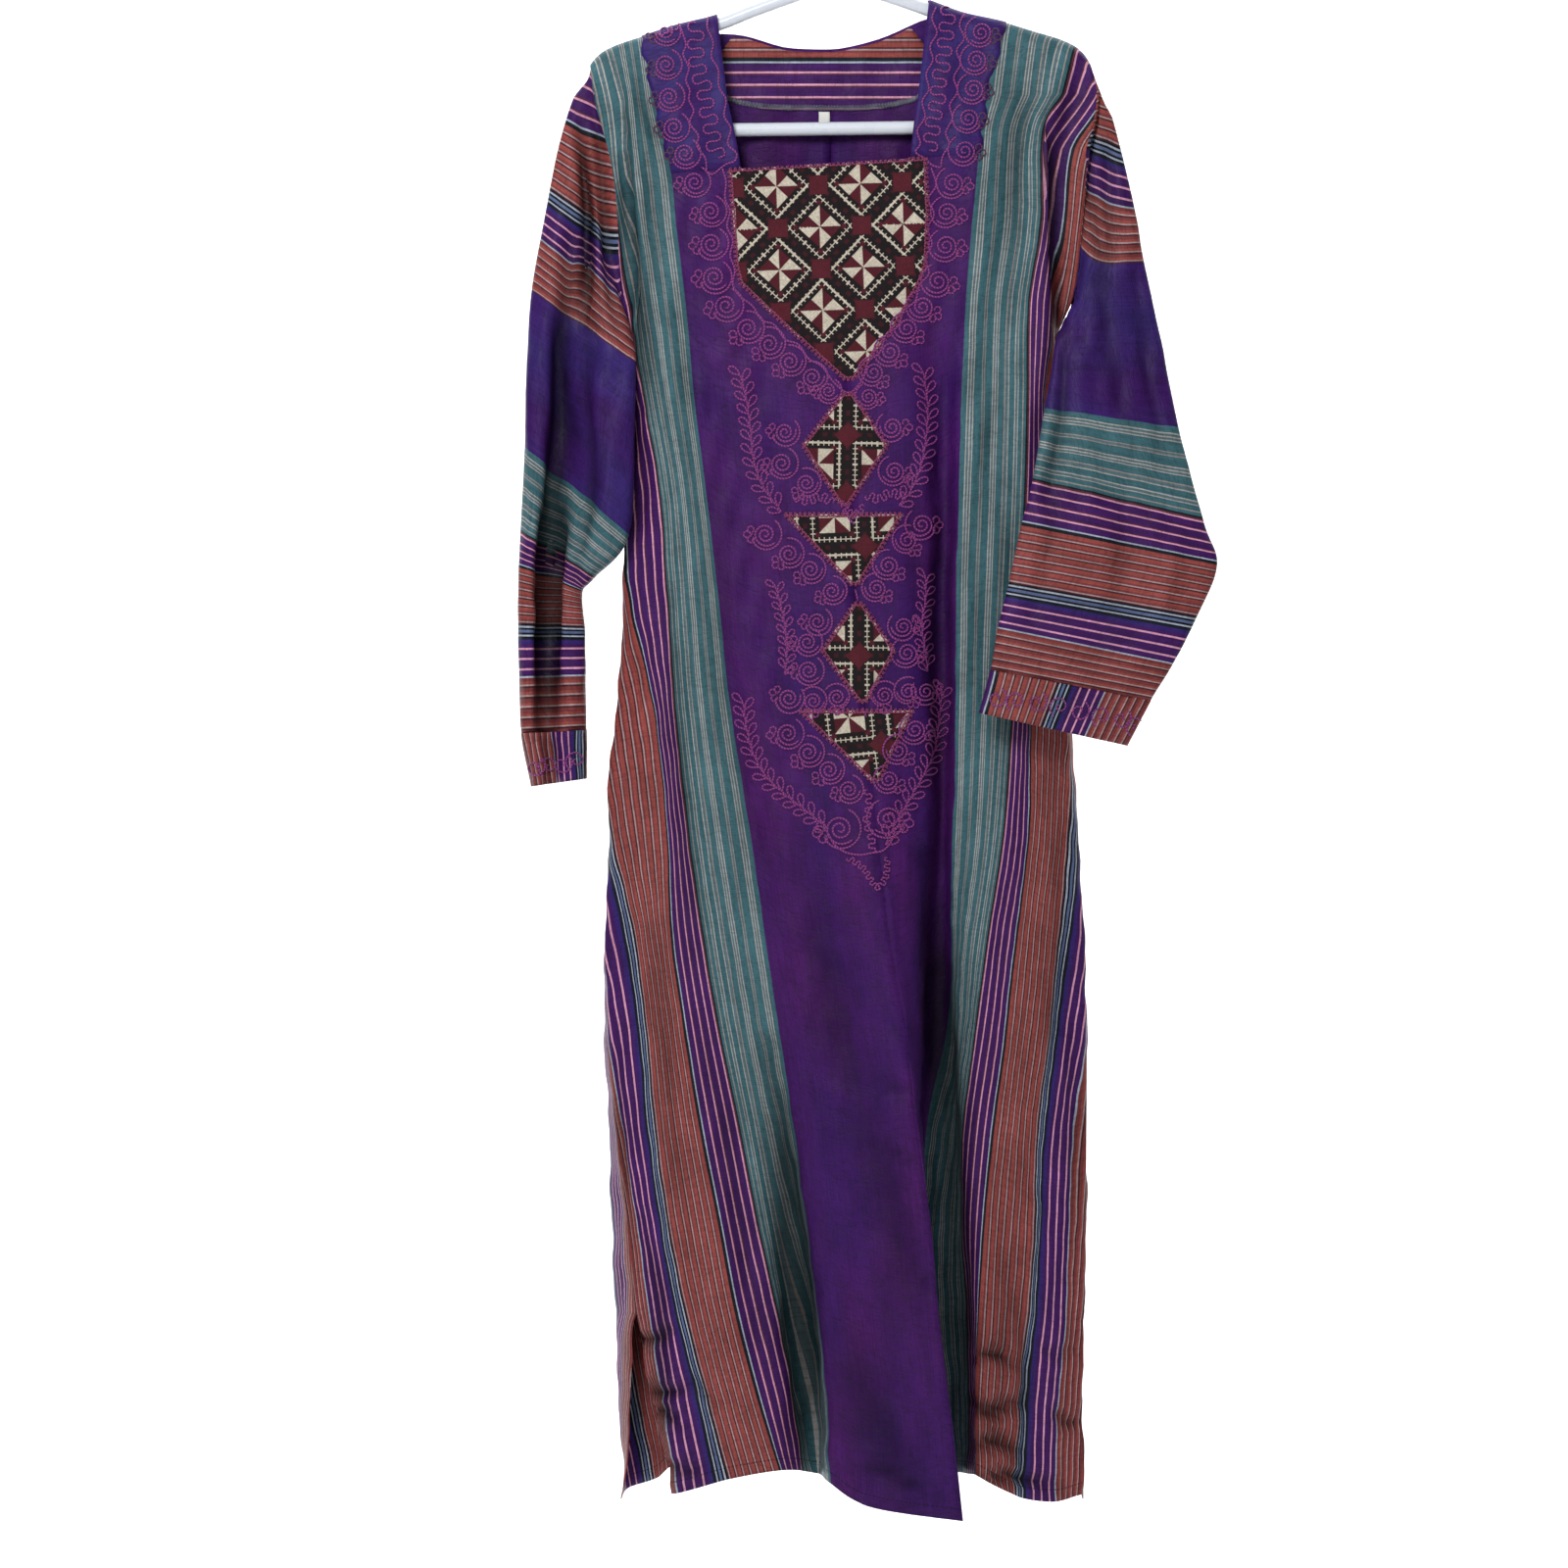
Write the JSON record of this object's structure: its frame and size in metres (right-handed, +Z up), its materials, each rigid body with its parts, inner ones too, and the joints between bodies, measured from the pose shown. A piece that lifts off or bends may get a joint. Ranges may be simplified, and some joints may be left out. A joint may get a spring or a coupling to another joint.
{
  "type": "kaftan dress on a hanger",
  "caption": "Ankle-length striped kaftan dress with long sleeves, square embroidered neck and side slits, hung on a tubular plastic hanger.",
  "frame": {"origin": "top of the hanger hook's inside, where a rail carries it", "axes": "+Z up, the front of the dress faces -Y, +X to the right of a person who looks at the front"},
  "size_m": [0.62, 0.1524, 1.4641],
  "materials": {
    "purple_silk": "satin, shot purple silk",
    "striped_silk": "satin, striped silk",
    "cross_stitch": "matt, cross-stitched cotton",
    "label_cloth": "plain woven tape",
    "hanger_plastic": "smooth pale plastic"
  },
  "bodies": {
    "root": {"front_left": "striped_silk", "front_right": "striped_silk", "back_left": "striped_silk", "back_right": "striped_silk", "sleeve_left": "striped_silk", "sleeve_right": "striped_silk", "cuff_left": "striped_silk", "cuff_right": "striped_silk", "yoke_left": "purple_silk", "yoke_right": "purple_silk", "chest_panel": "cross_stitch", "diamond_upper": "cross_stitch", "triangle_upper": "cross_stitch", "diamond_lower": "cross_stitch", "triangle_lower": "cross_stitch", "facing_back_neck": "striped_silk", "label_blank": "label_cloth", "hanger": "hanger_plastic"}
  },
  "joints": []
}
